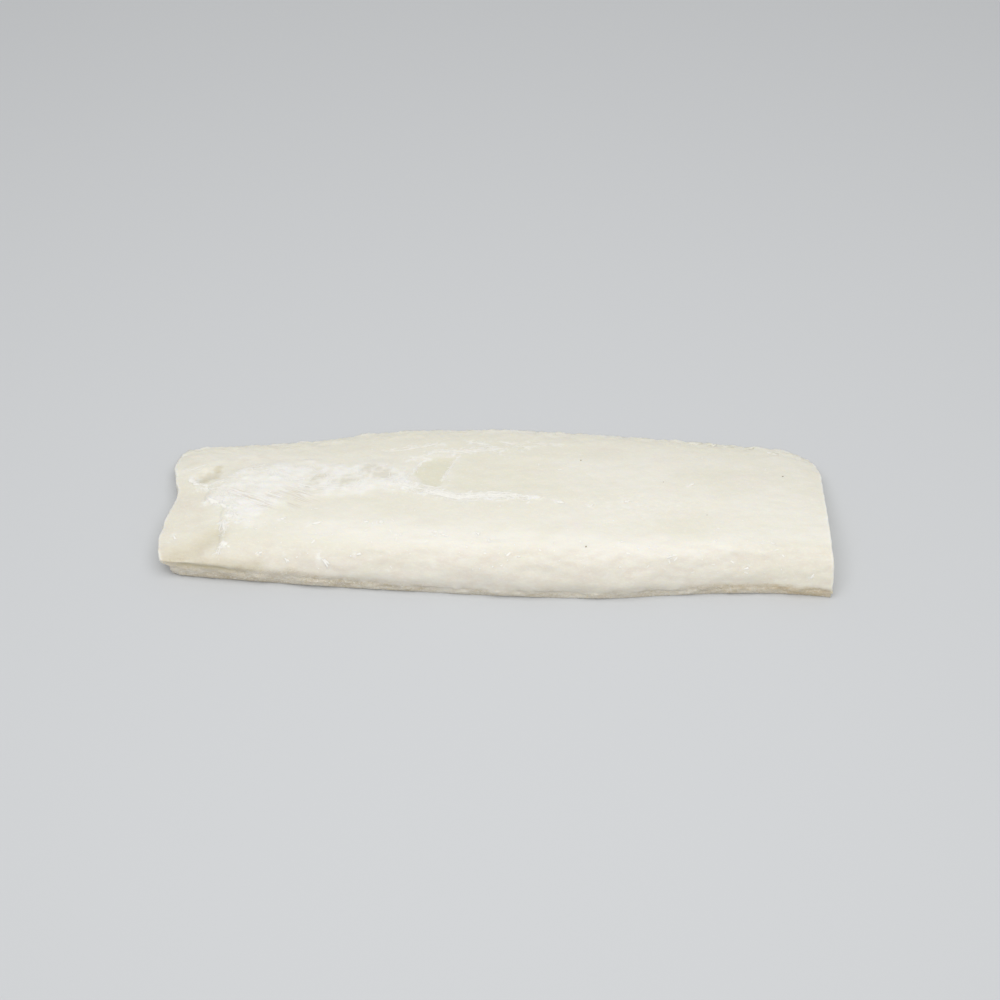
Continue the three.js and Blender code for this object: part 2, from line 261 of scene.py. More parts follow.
# Small things at their own places. Tufts: place, heading and length. Pinpricks: place and half width.
TUFTS = [
    (-110.6, -52, -0.77, 9), (-133, -51.5, -0.8, 4), (-88, -52.5, 0.2, 5), (-138, -23.5, 0.3, 5),
    (-118, -29, 0.3, 9), (-84, -28.6, 0.1, 4), (-75, -29, 0.1, 5), (-40, -37, -0.4, 5), (-35, -39, -0.5, 6),
    (-13, -38, -0.5, 5), (-205.5, -32.5, -1.1, 5), (-5, -45, -0.3, 3), (79, -47, 0.4, 3), (14, -57, 0.3, 3),
    (174, -45, -0.2, 4), (108, -56.7, 0.2, 4), (157, -61, 0.3, 4), (199, -65, 0.4, 3), (38.7, -9.8, -0.2, 8),
    (-150, -49.5, 0.5, 3), (61, -14, 0.5, 4), (83, -10, 0.3, 5), (126, 6, 0.6, 5), (-62, -40, 0.4, 4),
    (139, -45, 0.9, 3),
]
TUFT_FIBRES = 6
PINPRICKS = [(57, 33, 0.55), (57.7, -50, 0.6), (189, 18, 0.6), (110, 10, 0.35), (136, -22, 0.3)]

# Thin flakes: the root, the heading, the length with the half width, and how far the tip lifts.
EDGE_FLAKES = [
    ((128, 57), 0.05, (9, 1.8), 0.5), ((133, 55), 0.4, (7, 1.4), 0.7), ((139, 56), 0.1, (8, 2.0), 0.5),
    ((145, 54.5), 0.5, (5, 1.4), 0.8), ((152, 54.5), 0.0, (9, 1.8), 0.5), ((166, 52), 0.1, (8, 1.6), 0.6),
    ((181, 48), -0.3, (9, 1.6), 0.2),
]
WHITE_FLAPS = [
    ((-201.5, 18.6), -0.6, (7, 2.4), 0.25), ((-198, 14), -0.5, (5, 1.6), 0.2),
    ((-178, -7.4), 2.66, (10, 1.3), 0.25), ((-182, -8.2), 2.2, (4, 1.1), 0.3),
    ((-172.4, -12.2), 2.5, (6, 1.1), 0.2),
]
FLAKE = {"steps": 9, "across": 7, "ragged": 0.6, "root": 0.6, "edge": 0.05, "thick": 0.3}
FIBRE = {"tip": 0.12, "curve": 0.6, "flat": 0.55}
FIBRE_WIDTHS = {"strand": (0.45, 1.3), "web": (0.35, 0.8), "tuft": (1.5, 3.0)}

# Salt, crumbs and pinpricks. Pairs are the least and the most, or a mean and its spread.
CRYSTAL = {"size": (0.5, 1.2), "sides": (0.7, 1.2), "flat": (1, 1, 0.5), "tilt": 0.15, "rise": 0.1}
CRUMB = {"long": (0.4, 1.5), "wide": (0.2, 0.5), "thick": 0.07, "uneven": 0.3, "heading": (0.4, 0.8)}
CRUMB_RISE = 0.02
CRYSTAL_CHAMFER = 0.35
PINPRICK = {"chamfer": 0.55, "narrow": 0.8, "thick": 0.1}
SALT_REACH = {"torn": 0.82, "cut": 0.96, "back": 0.88, "belly": 0.8, "even": 0.7}
SALT_SHOULDER = {"share": 0.7, "below": 6, "spread": 9}

# Finishes of the small things: two tones, the sizes of the mottling, the noise values it passes between,
# roughness, index of refraction, and the sizes and depth of the bumps.
SMALL_FINISHES = {
    "white strand": (("strand", "crest"), (3, 3, 3), None, 0.45, 1.42, ((0.8, 0.5, 0.5), 0.2)),
    "thin flake": (("membrane", "window"), (3, 2, 2), (0.3, 0.65), 0.5, 1.42, ((0.9, 0.6, 0.6), 0.25)),
    "salt crystal": (("salt", "membrane"), (0.5, 0.5, 0.5), (0.35, 0.65), 0.3, 1.54, None),
    "dark pinprick": (("speck", "stain_and_shade"), (0.6, 0.6, 0.6), None, 0.6, 1.5, None),
}
SMALL_BUMP = 0.3

# Fineness of the flesh mesh.
ALONG = 500
ACROSS = 124
RINGS = 16
SHOULDER_CROWDING = 0.6
UNDERSIDE_STEP = 2.1

# Stage, in metres, and the sockets of the mix node that hold colours.
FLOOR_HALF = 4
OVERHEAD = {"place": (0, -0.3, 1.2), "size": (1.5, 1.1)}
MIX_FIRST, MIX_SECOND, MIX_RESULT = 6, 7, 2


def paint(red, green, blue):
    """A screen colour, 0 to 255 a channel, as the linear colour with alpha that shaders take."""
    shares = (channel / 255 for channel in (red, green, blue))
    return (*(s / 12.92 if s <= 0.04045 else ((s + 0.055) / 1.055) ** 2.4 for s in shares), 1.0)


def colour(name, description, default):
    return bpy.props.FloatVectorProperty(
        name=name, description=description, default=default, size=4, min=0, max=1, subtype="COLOR")


def length(name, description, default):
    return bpy.props.FloatProperty(
        name=name, description=description, default=default * MM, min=0, unit="LENGTH", precision=4)


def whole(name, description, default):
    return bpy.props.IntProperty(name=name, description=description, default=default, min=0)


def angle(name, description, default):
    return bpy.props.FloatProperty(
        name=name, description=description, default=math.radians(default), subtype="ANGLE")


class CodForm(bpy.types.PropertyGroup):
    """Sizes of the flesh."""

    crest: length("Crest", "Height of the thickest part of the loin", 0.98 * HEIGHT)
    shoulder: length("Shoulder", "Run of the rounded shoulder, from the back edge to the crest", 22)
    belly_rim: length("Belly rim", "Height of the thin belly edge", 4.5)


class CodColours(bpy.types.PropertyGroup):
    """Colours of the flesh and of what lies on it."""

    flesh: colour("Flesh", "Plain salted flesh", paint(239, 236, 225))
    deep_flesh: colour("Deep flesh", "Flesh where it is thicker and more yellow", paint(232, 229, 213))
    # Crest colour: partly the whiter flesh of the crest, partly a painted highlight there; it also whitens
    # flecks and strands.
    crest: colour("Crest", "Whiter flesh along the crest of the loin", paint(245, 242, 232))
    rosy: colour("Rosy flesh", "Flesh with a faint pink cast", paint(237, 231, 221))
    blush: colour("Blush", "Pinker, duller flesh low on the shoulder and in streaks", paint(226, 216, 203))
    membrane: colour("Membrane", "Silvery lining left on the belly side", paint(246, 244, 238))
    hatch: colour("Hatching", "Greyer gaps in the membrane", paint(214, 206, 193))
    hole: colour("Hole", "Grey-green flesh in the holes of the membrane", paint(221, 217, 203))
    window: colour("Window", "Clear, greener flesh between the strands", paint(229, 226, 206))
    strand: colour("Strand", "White connective tissue", paint(250, 249, 244))
    # Tan colour: dried flesh on the back edge and on the seams below, and painted shade low on the back wall
    # and in the crevices of the torn end.
    tan: colour("Tan", "Dried, browner flesh low on the back edge", paint(200, 187, 165))
    golden: colour("Golden", "Golden-brown lower edge towards the cut end", paint(218, 197, 158))
    # Stain colour: olive stains in the pit and pinpricks, and painted shade in the groove, the trough and the
    # crease.
    stain_and_shade: colour("Stain", "Olive stains in the groove, the trough and the pit", paint(198, 187, 152))
    salt: colour("Salt", "Salt crystals", paint(250, 250, 248))
    speck: colour("Speck", "Dark pinpricks", paint(120, 110, 98))


class CodScatter(bpy.types.PropertyGroup):
    """Small things that lie on the flesh."""

    fibre: length("Fibre", "Half width of a fibre", 0.25)
    web: whole("Web", "Loose fine fibres on the membrane", 70)
    crystal: length("Crystal", "Side of a usual salt crystal", 0.8)
    crystals: whole("Crystals", "Loose salt crystals", 60)
    crumbs: whole("Crumbs", "Loose white crumbs of flesh", 60)
    seed: whole("Seed", "Seed of the random draws", 7)


class CodStage(bpy.types.PropertyGroup):
    """Floor, lights and camera."""

    floor: colour("Floor", "Plain pale floor", paint(206, 208, 210))
    key_power: bpy.props.FloatProperty(
        name="Key", description="Power of the soft light overhead", default=11.0, min=0, unit="POWER")
    sky: bpy.props.FloatProperty(
        name="Sky", description="Strength of the even light all round", default=0.5, min=0)
    camera_height: length("Camera height", "Height of the lens above the floor", 1012.6)
    camera_back: length("Camera distance", "Distance of the lens in front of the fillet", 837.8)
    camera_side: length("Camera side", "Distance of the lens to the right of the middle", 3.5)
    camera_pitch: angle("Pitch", "How far the lens looks down", 50)
    camera_view: angle("View", "Angle of view", 28.06)


def smooth(share):
    """An easy passage from 0 to 1 as the share goes from 0 to 1."""
    share = np.clip(share, 0, 1)
    return share * share * (3 - 2 * share)


def passage(values, start, end):
    """0 at the start value and 1 at the end value, with an easy passage between them."""
    return smooth((values - start) / (end - start))


def grain(points, sizes, layer, turn=0.0):
    """Soft random swells from -1 to 1, of the given sizes along x, y and z, turned in plan."""
    x, y, z = np.moveaxis(np.asarray(points, float), -1, 0)
    c, s = math.cos(turn), math.sin(turn)
    ahead, aside = (x * c + y * s) / sizes[0], (y * c - x * s) / sizes[1]
    places = np.stack([ahead, aside, z / sizes[2] + layer + OFF_LATTICE], -1).reshape(-1, 3)
    return np.array([noise.noise(place) for place in places.tolist()]).reshape(x.shape)


def grains(points, rows):
    """Layers of grain, added up."""
    return sum(height * grain(points, sizes, layer) for sizes, height, layer in rows)


def along(samples, share):
    """A value read from samples spaced evenly over 0 to 1."""
    place = np.clip(share, 0, 1) * (len(samples) - 1)
    first = np.minimum(place.astype(int), len(samples) - 2)
    samples = np.array(samples, float)
    return samples[first] + (samples[first + 1] - samples[first]) * smooth(place - first)


def smooth_line(points, shares):
    """Points at the given shares of the length of a curve through a few points."""
    points = np.array(points, float)
    ghosts = np.vstack([2 * points[0] - points[1], points, 2 * points[-1] - points[-2]])
    place = np.linspace(0, len(points) - 1, 200 * len(points))
    first = np.minimum(place.astype(int), len(points) - 2)
    t = (place - first)[:, None]
    a, b, c, d = (ghosts[first + n] for n in range(4))
    curve = b + 0.5 * t * (c - a + t * (2 * a - 5 * b + 4 * c - d + t * (3 * (b - c) + d - a)))
    run = np.concatenate([[0], np.cumsum(np.linalg.norm(np.diff(curve, axis=0), axis=1))])
    return np.stack([np.interp(np.asarray(shares) * run[-1], run, axis) for axis in curve.T], -1)


def oval_distance(x, y, at, half, turn=0.0):
    """Distance from the middle of an oval, in half sizes of the oval."""
    dx, dy = x - at[0], y - at[1]
    c, s = math.cos(turn), math.sin(turn)
    return np.hypot((dx * c + dy * s) / half[0], (dy * c - dx * s) / half[1])


def line_distance(x, y, points):
    """Distance from a line of straight stretches."""
    nearest = np.full(np.shape(x), np.inf)
    for (x0, y0), (x1, y1) in zip(points[:-1], points[1:]):
        dx, dy = x1 - x0, y1 - y0
        t = np.clip(((x - x0) * dx + (y - y0) * dy) / (dx * dx + dy * dy), 0, 1)
        nearest = np.minimum(nearest, np.hypot(x - x0 - t * dx, y - y0 - t * dy))
    return nearest


def depth_inside(x, y, outline):
    """Distance to an outline, positive inside it and negative outside."""
    closed = list(outline) + [outline[0]]
    inside = np.zeros(np.shape(x), bool)
    for (x0, y0), (x1, y1) in zip(closed[:-1], closed[1:]):
        if y0 != y1:
            crosses = (np.minimum(y0, y1) <= y) & (y < np.maximum(y0, y1))
            inside ^= crosses & (x < x0 + (y - y0) * (x1 - x0) / (y1 - y0))
    distance = line_distance(x, y, closed)
    return np.where(inside, distance, -distance)


def across_shares():
    """Steps across, which crowd together on the shoulder."""
    even = np.linspace(0, 1, ACROSS + 1)
    return even + SHOULDER_CROWDING * (even ** 1.5 - even)


def plan_grid():
    """Plan places of the top surface: a patch blended between the four edges."""
    box = np.array([LENGTH, WIDTH])
    u, v = np.linspace(0, 1, ALONG + 1), across_shares()
    back, belly = (smooth_line(edge, u)[:, None] * box for edge in (BACK_EDGE, BELLY_EDGE))
    torn, cut = (smooth_line(edge, v)[None] * box for edge in (TORN_END, CUT_END))
    u, v = u[:, None, None], v[None, :, None]
    corners = (1 - u) * ((1 - v) * back[:1] + v * belly[:1]) + u * ((1 - v) * back[-1:] + v * belly[-1:])
    return ragged((1 - v) * back + v * belly + (1 - u) * torn + u * cut - corners)


def ragged(plan):
    """The plan with its torn end and belly edge frayed, less and less further in."""
    x, y = plan[..., 0], plan[..., 1]
    solid = np.pad(plan, ((0, 0), (0, 0), (0, 1)))
    rows = {"torn": solid[:1], "belly": solid[:, -1:]}
    fray = {
        wall: sum(depth * grain(row, (size, size, 1), size) for size, depth in RAGGED_EDGES[wall])
        for wall, row in rows.items()
    }
    edge_x = plan[:, -1:, 0]
    begun, left = edge_x - RAGGED_STRETCH["from"], RAGGED_STRETCH["to"] - edge_x
    worn = smooth(begun / RAGGED_STRETCH["ease"]) * smooth(left / RAGGED_STRETCH["ease"])
    fray["belly"] = fray["belly"] * (1 + RAGGED_STRETCH["times"] * worn)
    from_torn, from_belly = x - plan[:1, :, 0], plan[:, -1:, 1] - y
    x = x - fray["torn"] * np.exp(-(from_torn / RAGGED_REACH) ** 2)
    y = y + fray["belly"] * np.exp(-(from_belly / RAGGED_REACH) ** 2)
    return np.dstack([x, y])


def rim_loop():
    """Grid places of the rim, anticlockwise from above: steps along, steps across, and each one's wall."""
    forward, up = np.arange(ALONG), np.arange(ACROSS)
    along_steps = np.concatenate([forward, np.full(ACROSS, ALONG), ALONG - forward, np.zeros(ACROSS, int)])
    across_steps = np.concatenate([np.zeros(ALONG, int), up, np.full(ALONG, ACROSS), ACROSS - up])
    walls = np.repeat(["back", "cut", "belly", "torn"], [ALONG, ACROSS, ALONG, ACROSS])
    return along_steps, across_steps, walls


def blended(values, reach):
    """A looped row of numbers, each averaged with its neighbours on both sides."""
    return sum(np.roll(values, shift) for shift in range(-reach, reach + 1)) / (2 * reach + 1)


def wall_rings(rim, loop, down):
    """Plan places of the rings of the walls, each at its share of the way down from the rim."""
    i, j, walls = loop
    u, v = i / ALONG, across_shares()[j]
    places = np.stack([u * LENGTH, v * WIDTH, np.zeros(len(u))], -1)
    ripple = sum(depth * grain(places, (size, size, 1), size) for size, depth in EDGE_RIPPLES)
    is_back, is_torn = walls == "back", walls == "torn"
    groove = blended(np.where(is_back, along(BACK_GROOVE, u), 0), CORNER_BLEND)
    lip = np.where(is_back, along(BACK_LIP, u), 0) + np.where(is_torn, TORN_LIP, 0)
    lip = blended(lip + np.where(walls == "cut", 0, ripple), 2)
    attached = np.where(is_back, u * LENGTH / LOOSE_LEDGE["along"], 1)
    attached = np.where(is_torn, v / LOOSE_LEDGE["across"], attached)
    ledge = LOOSE_LEDGE["depth"] * (1 - smooth(attached))
    inset = blended(np.array([FOOT_INSET[wall] for wall in walls]), CORNER_BLEND)
    down = down[:, None]
    in_groove = np.maximum(0, 1 - np.abs(down / GROOVE_DOWN - 1))
    under_groove = smooth(down / GROOVE_DOWN - 1)
    foot = down ** FOOT_CURVE
    outside = lip * under_groove * (1 - foot) - groove * in_groove - inset * foot
    run = np.roll(rim, -CORNER_BLEND, 0) - np.roll(rim, CORNER_BLEND, 0)
    out = np.stack([run[:, 1], -run[:, 0]], -1) / np.linalg.norm(run, axis=1, keepdims=True)
    return rim + outside[..., None] * out + (ledge * under_groove)[..., None] * (1, 0)


def crown_height(u, d, w, form):
    """Height of the plain section: d across from the back edge, w the whole width, u the share along."""
    crest = form.crest / MM * along(CREST_SHARES, u)
    run, belly = form.shoulder / MM, form.belly_rim / MM
    edge = np.stack([u * LENGTH, np.zeros_like(u), np.zeros_like(u)], -1)
    rim = along(BACK_RIM, u) + sum(high * grain(edge, (long, 1, 1), long) for long, high in RIM_WAVER)
    share, rounded = np.clip(d / run, 0, 1), along(SHOULDER_ROUND, u)
    rise = rounded * np.sqrt(1 - (1 - share) ** 2) + (1 - rounded) * np.sin(0.5 * math.pi * share)
    shoulder = rim + (crest - rim) * rise
    fall = np.clip((d - run) / (w - run), 0, 1) ** BELLY_FALL
    return np.where(d < run, shoulder, belly + (crest - belly) * (1 - fall))


def top_relief(x, y, u, v):
    """What the swells, torn layers and hollows add to the crown."""
    places = np.stack([x, y, np.zeros_like(x)], -1)
    z = sum(height * grain(places, (long, wide, 1), long) for long, wide, height in SWELLS)
    z += RISES["membrane"] * smooth(depth_inside(x, y, MEMBRANE) / 8 + 0.5)
    z += RISES["small_window"] * smooth(depth_inside(x, y, SMALL_WINDOW) / 7 + 0.35)
    z += RISES["long_window"] * smooth(depth_inside(x, y, LONG_WINDOW) / 14 + 0.3) * passage(x, 78, 8)
    z += RISES["pit"] * smooth((1.05 - oval_distance(x, y, *PIT) + grains(places, PIT_GRAIN)) / 1.1)
    rim_x = np.interp(-y, [-place[1] for place in TORN_LINE], [place[0] for place in TORN_LINE])
    torn = smooth((rim_x + grains(places, TORN_GRAIN) - x) / TORN_LAYER["slope"] + 0.5)
    z -= TORN_LAYER["height"] * torn * passage(y, 14, 4)
    z -= END_ROUND["drop"] * np.exp(-u * LENGTH / END_ROUND["run"])
    z *= smooth(v / CALM["back"]) * smooth((1 - v) / CALM["belly"])
    z -= TROUGH["depth"] * smooth(1 - line_distance(x, y, TROUGH["line"]) / TROUGH["reach"])
    from_belly = np.linalg.norm(np.stack([x - x[:, -1:], y - y[:, -1:]]), axis=0)
    uneven = 1 + grains(places, BELLY_GRAIN)
    return z - BELLY_ROUND["drop"] * uneven * np.exp(-from_belly / BELLY_ROUND["run"])


def underside(foot):
    """Extra points and triangles that close the underside within the foot ring."""
    low, high = foot.min(0), foot.max(0)
    xs = np.arange(low[0], high[0], UNDERSIDE_STEP)
    ys = np.arange(low[1], high[1], UNDERSIDE_STEP)
    lattice = np.stack(np.meshgrid(xs, ys, indexing="ij"), -1)
    lattice[:, ::2, 0] += 0.5 * UNDERSIDE_STEP
    lattice = lattice.reshape(-1, 2)
    inner = lattice[depth_inside(lattice[:, 0], lattice[:, 1], foot[::4].tolist()) > 0.6 * UNDERSIDE_STEP]
    count = len(foot)
    ring = [(n, (n + 1) % count) for n in range(count)]
    places = [Vector(place) for place in np.vstack([foot, inner]).tolist()]
    _, _, faces, sources, _, _ = geometry.delaunay_2d_cdt(places, ring, [], 1, 1e-6)
    source = [given[0] for given in sources]
    return inner, [[source[corner] for corner in reversed(face)] for face in faces]


def shell_faces(loop, top_count):
    """Four-sided faces of the top and of the walls, ring by ring."""
    across, count = ACROSS + 1, len(loop[0])
    corner = (np.arange(ALONG)[:, None] * across + np.arange(ACROSS)).ravel()
    faces = [np.stack([corner, corner + across, corner + across + 1, corner + 1], -1)]
    upper = loop[0] * across + loop[1]
    for ring in range(RINGS):
        lower = top_count + ring * count + np.arange(count)
        faces.append(np.stack([upper, lower, np.roll(lower, -1), np.roll(upper, -1)], -1))
        upper = lower
    return np.vstack(faces).tolist()


def fitted(places, low, high):
    """Plan places between a low and a high corner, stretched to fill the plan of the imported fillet."""
    return LOW[:2] + (places - low) * (HIGH - LOW)[:2] / (high - low)


def flesh_form(form):
    """Points and faces of the flesh, with each point's wall, '' on the top, and its share of the way down."""
    plan, loop = plan_grid(), rim_loop()
    down = np.linspace(0, 1, RINGS + 1)[1:]
    rings = wall_rings(plan[loop[0], loop[1]], loop, down)
    spread = np.vstack([plan.reshape(-1, 2), rings.reshape(-1, 2)])
    low, high = spread.min(0), spread.max(0)
    plan, rings = fitted(plan, low, high), fitted(rings, low, high)

    u = np.broadcast_to(np.linspace(0, 1, ALONG + 1)[:, None], plan.shape[:2])
    v = np.broadcast_to(across_shares()[None], plan.shape[:2])
    w = np.linalg.norm(plan[:, -1:] - plan[:, :1], axis=2)
    x, y = plan[..., 0], plan[..., 1]
    top = np.dstack([x, y, crown_height(u, v * w, w, form) + top_relief(x, y, u, v)])
    walls = np.dstack([rings, top[loop[0], loop[1], 2] * (1 - down[:, None])])

    top_count, count = top.size // 3, len(loop[0])
    inner, floor_faces = underside(rings[-1])
    foot_start = top_count + (RINGS - 1) * count
    faces = shell_faces(loop, top_count)
    faces += [[corner + foot_start for corner in face] for face in floor_faces]
    points = np.vstack([top.reshape(-1, 3), walls.reshape(-1, 3), np.pad(inner, ((0, 0), (0, 1)))])
    place = np.concatenate([[""] * top_count, np.tile(loop[2], RINGS), ["under"] * len(inner)])
    share_down = np.concatenate([np.zeros(top_count), np.repeat(down, count), np.ones(len(inner))])
    return points, faces, place, share_down


def lining_mask(x, y, flat):
    """The silvery lining: soft torn clouds, whiter towards the torn end and thin in its holes."""
    coarse, fine = grain(flat, (15, 10, 1), 11), grain(flat, (5, 3.4, 1), 12)
    cover = smooth((depth_inside(x, y, MEMBRANE) + 9 * coarse + 5 * fine) / 16 + 0.35)
    for hole in MEMBRANE_HOLES:
        cover *= 1 - 0.85 * smooth((1.15 - oval_distance(x, y, *hole) + 0.6 * fine + 0.4 * coarse) / 0.9)
    white = np.interp(x, LINING_WHITE["x"], LINING_WHITE["share"])
    return cover * np.clip(white + 0.7 * coarse + 0.7 * fine, 0, 1)


def strand_mask(x, y, flat):
    """Soft ragged bands of white tissue along the strands."""
    ragged, strand = grains(flat, STRAND_GRAIN), np.zeros(len(flat))
    for width, share, _, line in STRANDS.values():
        line = smooth_line(line, np.linspace(0, 1, 24)).tolist()
        near = 0.8 - line_distance(x, y, line) / width + ragged
        strand = np.maximum(strand, share * smooth(near / 1.2))
    return strand


def dried_and_shade_mask(points, place):
    """Browner flesh low on the back edge, up to a wavering height: partly dried flesh, partly painted shade
    low on the wall.
    """
    x, y, z = points.T
    skin_deep = np.where(place == "cut", passage(y, -63, -68), passage(y, -40, -52))
    low_back = np.where(place == "back", 1, skin_deep) * (place != "under")
    crisp = passage(x, 80, 140)
    waver = (4 - 2.5 * crisp) * grain(points, (16, 9, 6), 15) + (2 - crisp) * grain(points, (4, 3, 2), 16)
    band = np.interp(x, DRIED_AND_SHADE_BAND["x"], DRIED_AND_SHADE_BAND["z"])
    blotch = 0.7 + 0.6 * smooth(0.5 + 1.5 * grain(points, (26, 14, 9), 37))
    strength = blotch * np.interp(x, DRIED_AND_SHADE_STRENGTH["x"], DRIED_AND_SHADE_STRENGTH["share"])
    return low_back * smooth((band - z + waver) / (9 - 6 * crisp) + 0.4) * strength


def muscle_lines(x, y, flat):
    """The seams between the muscle blocks on the skinned underside: chevrons that point to the torn end."""
    bend = MUSCLE["bend"] * np.abs(y - MUSCLE["middle"]) ** 0.8 + 7 * grain(flat, (46, 24, 1), 32)
    seam = np.abs(np.sin(math.pi * (x - bend) / MUSCLE["step"]))
    lateral = np.abs(y - MUSCLE["middle"] + 2 * grain(flat, (40, 20, 1), 33)) / MUSCLE["lateral"]
    return np.maximum(1 - smooth(seam / MUSCLE["seam"]), 0.7 * (1 - smooth(lateral)))


def crevices(points):
    """The gaps between the thin layers that show at the torn end."""
    height = points[:, 2] + grains(points, LAYER_GRAIN)
    return 1 - smooth(np.abs(np.sin(math.pi * height / TORN_STEP)) / 0.5)


def muscle_rings(points):
    """The angle of the muscle's growth rings on the knife-cut face."""
    _, y, z = points.T
    return 1.1 * (np.hypot((y + 22) / 1.6, z - 2) + 2.5 * grain(points, (30, 12, 8), 27))


def rim_line(points, place, share_down, wall):
    """Plan places of the first ring below the rim of one wall."""
    first_ring = share_down == share_down[share_down > 0].min()
    return points[first_ring & (place == wall), :2]


def rim_highlight_mask(points, place, share_down, uneven):
    """Painted highlight along the rims of the torn end, the belly edge and the cut end, where the edges catch
    the light.
    """
    x, y, _ = points.T
    nearest = np.full(len(points), np.inf)
    for wall, reach in RIM_HIGHLIGHT_REACH.items():
        line = rim_line(points, place, share_down, wall)[::3]
        nearest = np.minimum(nearest, line_distance(x, y, line.tolist()) / reach)
    return np.exp(-nearest ** 2) * smooth(0.9 + uneven) * (share_down < 0.2)


def stain_and_shade_mask(points, place, share_down, coarse, fine):
    """Olive stains in the pit, and painted shade tinted olive in the groove, the trough and the crease by the
    torn back corner.
    """
    x, y, _ = points.T
    # Painted shade in the groove on the back wall by the torn corner.
    groove = np.where(place == "back", np.exp(-((share_down - GROOVE_DOWN) / 0.14) ** 2), 0)
    groove = groove * passage(x, -150, -175) * passage(x, -212, -196)
    back = rim_line(points, place, share_down, "back")
    crease = back[back[:, 0] < -150][::4].tolist()
    spots = [
        # Painted shade along the trough, then along the crease by the torn back corner.
        0.5 * smooth(1 - line_distance(x, y, TROUGH["line"]) / 13),
        0.4 * smooth(1 - line_distance(x, y, crease) / 8 + 0.4 * coarse),
    ]
    for at, half, turn, share in STAINS:
        near = 1.3 - oval_distance(x, y, at, half, turn) + 0.8 * fine + 0.5 * coarse
        spots.append(share * smooth(near / 1.2))
    return np.maximum(groove, np.maximum.reduce(spots) * (place == ""))


def top_masks(x, y, flat, coarse, fine):
    """How strongly each part of the finish shows on the top, by its place in plan."""
    small = smooth((depth_inside(x, y, SMALL_WINDOW) + fine + coarse) / 4 + 0.4)
    long = smooth((depth_inside(x, y, LONG_WINDOW) + 2 * fine + 3 * coarse) / 10 + 0.3) * passage(x, 70, 0)
    torn = fine + 0.4 * coarse
    hole = sum(smooth(1.1 - oval_distance(x, y, *oval) / 1.3 + torn) for oval in MEMBRANE_HOLES)
    hatch = sum(smooth(1.5 - oval_distance(x, y, *oval) + 0.5 * coarse) for oval in HATCHING)
    streak = sum(smooth(1 - line_distance(x, y, line) / 3.5 + 0.6 * (fine + coarse)) for line in STREAKS)
    tuft = sum(np.exp(-(np.hypot(x - at_x, y - at_y) / (0.35 * run)) ** 2) for at_x, at_y, _, run in TUFTS)
    torn_end = passage(x - 4 * coarse, -178, -192) * passage(y, 20, 0)
    near_left = passage(x, -100, -160) * passage(y, -18, -32)
    near_right = passage(x, 120, 180) * passage(y, -40, -52)
    far = passage(y + 8 * grain(flat, (40, 12, 1), 17), 30, 56) * passage(x, -190, -140)
    far = far * (0.85 - 0.4 * passage(np.abs(x - 15), 90, 0))
    deep = 0.6 * smooth(1.4 - oval_distance(x, y, *DEEP_PATCH) + 0.4 * coarse)
    crest = smooth(1.1 - line_distance(x, y, CREST_LINE) / CREST_REACH + 0.25 * coarse)
    return {
        "membrane": lining_mask(x, y, flat),
        "hatch": hatch,
        "hole": hole,
        "window": np.maximum(small, 0.4 * long),
        "strand": np.maximum(strand_mask(x, y, flat), 0.7 * tuft * smooth(0.5 + 2 * fine)),
        "bloom": smooth(1.3 - oval_distance(x, y, *BLOOM)) * smooth(0.6 + 2 * fine + coarse),
        # Painted highlight along the crest, partly whiter flesh there.
        "crest": crest * (1 - 0.8 * near_left) * (1 - 0.6 * passage(x, 130, 190)),
        "far": np.maximum.reduce([far, deep, 1.6 * torn_end, near_left, 1.4 * near_right]),
        "blush": np.maximum(0.6 * streak, 0.8 * torn_end),
    }


def finish_masks(points, place, share_down):
    """How strongly each part of the finish shows at each point, from 0 to 1."""
    x, y, _ = points.T
    flat, top, under = points * (1, 1, 0), place == "", place == "under"
    coarse, fine = grain(flat, (11, 7, 1), 19), grain(flat, (3.4, 2.6, 1), 20)
    masks = {name: values * top for name, values in top_masks(x, y, flat, coarse, fine).items()}
    low = smooth((-y - np.interp(x, LOW_BLUSH["x"], LOW_BLUSH["from"])) / LOW_BLUSH["run"])
    dried_and_shade = dried_and_shade_mask(points, place)
    masks |= {
        # Partly dried flesh, partly painted shade low on the back wall; the golden band follows it.
        "tan": dried_and_shade,
        "golden": dried_and_shade * passage(x, 110, 190),
        "stain_and_shade": stain_and_shade_mask(points, place, share_down, coarse, fine),
        # Painted highlight along the rims.
        "rim": rim_highlight_mask(points, place, share_down, coarse + fine),
        "blush": np.maximum(masks["blush"], low * ~under),
        "cut_face": place == "cut",
        # Painted shade in the gaps between the layers of the torn end.
        "crevice": np.where(place == "torn", crevices(points) * smooth(4 * share_down), 0),
        "ring": np.where(place == "cut", 0.5 + 0.5 * np.sin(muscle_rings(points)), 0),
        "under": under,
        "muscle": np.where(under, muscle_lines(x, y, flat), 0),
    }
    return {name: np.clip(values, 0.0, 1.0) for name, values in masks.items()}


